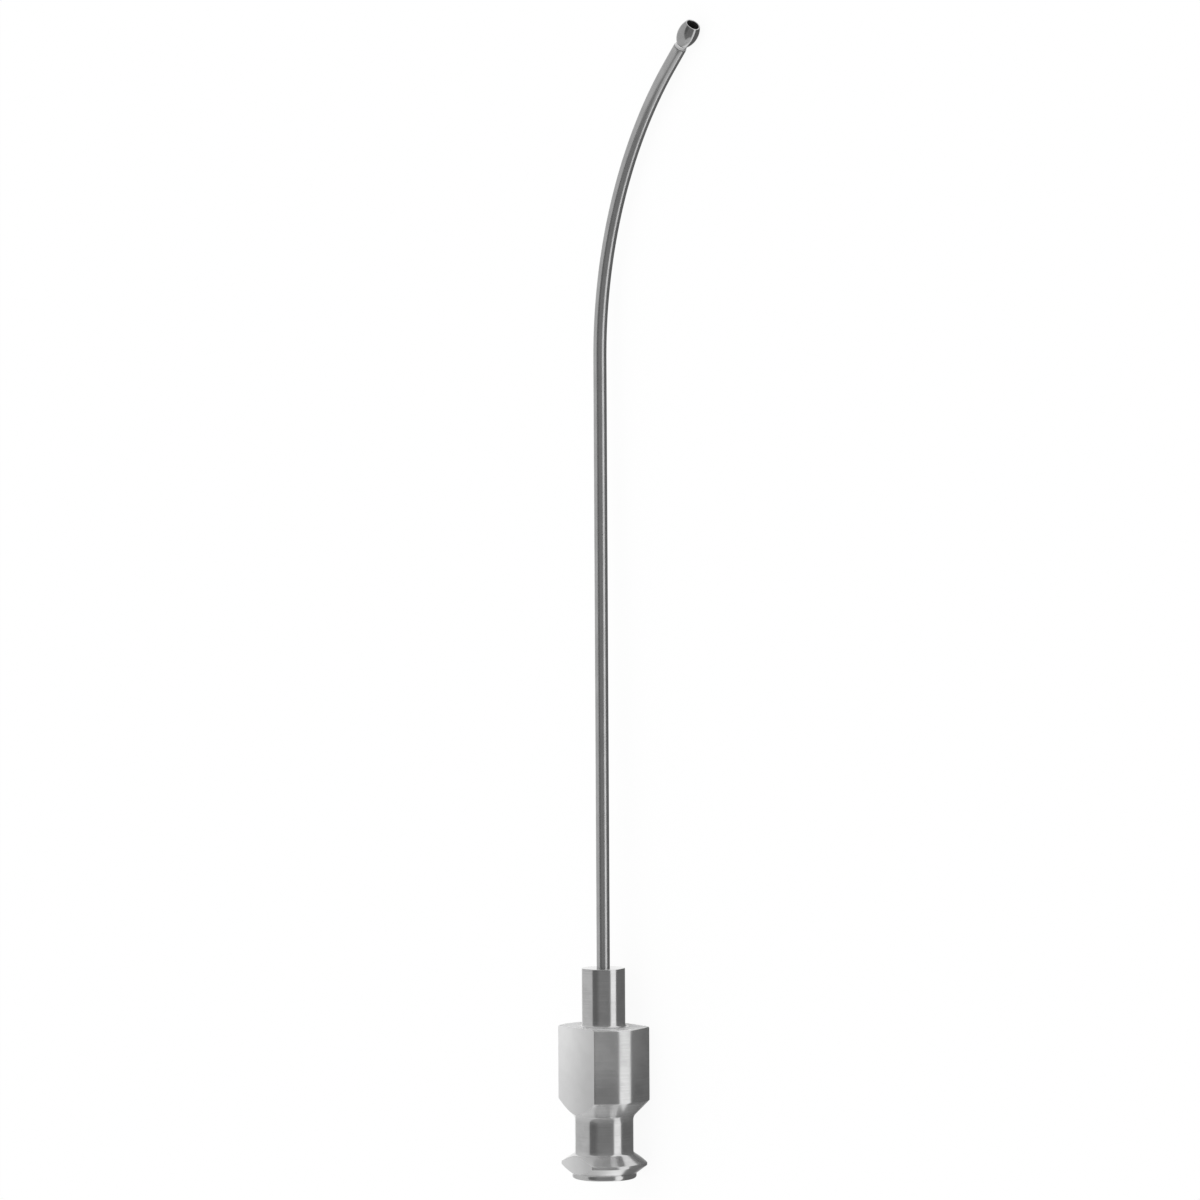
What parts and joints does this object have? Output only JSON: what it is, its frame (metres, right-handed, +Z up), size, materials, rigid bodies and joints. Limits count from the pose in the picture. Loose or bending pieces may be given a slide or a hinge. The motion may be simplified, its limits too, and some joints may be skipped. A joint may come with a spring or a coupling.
{
  "type": "suction needle",
  "caption": "Slim suction needle with a tapered lock hub, grip flats, a long thin tube bent near its end and an open olive tip.",
  "frame": {"origin": "on the table, under the middle of the needle's box, as it lies on a hub flat and the olive", "axes": "+Y along the needle from the hub to the olive, +X towards the side the tip bends to, +Z up from the table"},
  "size_m": [0.0198, 0.103, 0.0063],
  "materials": {
    "hub_steel": "turned steel with finely milled flats",
    "tube_steel": "drawn and polished steel",
    "tip_steel": "polished steel"
  },
  "bodies": {
    "root": {"hub": "hub_steel", "needle_tube": "tube_steel", "olive_tip": "tip_steel"}
  },
  "joints": []
}
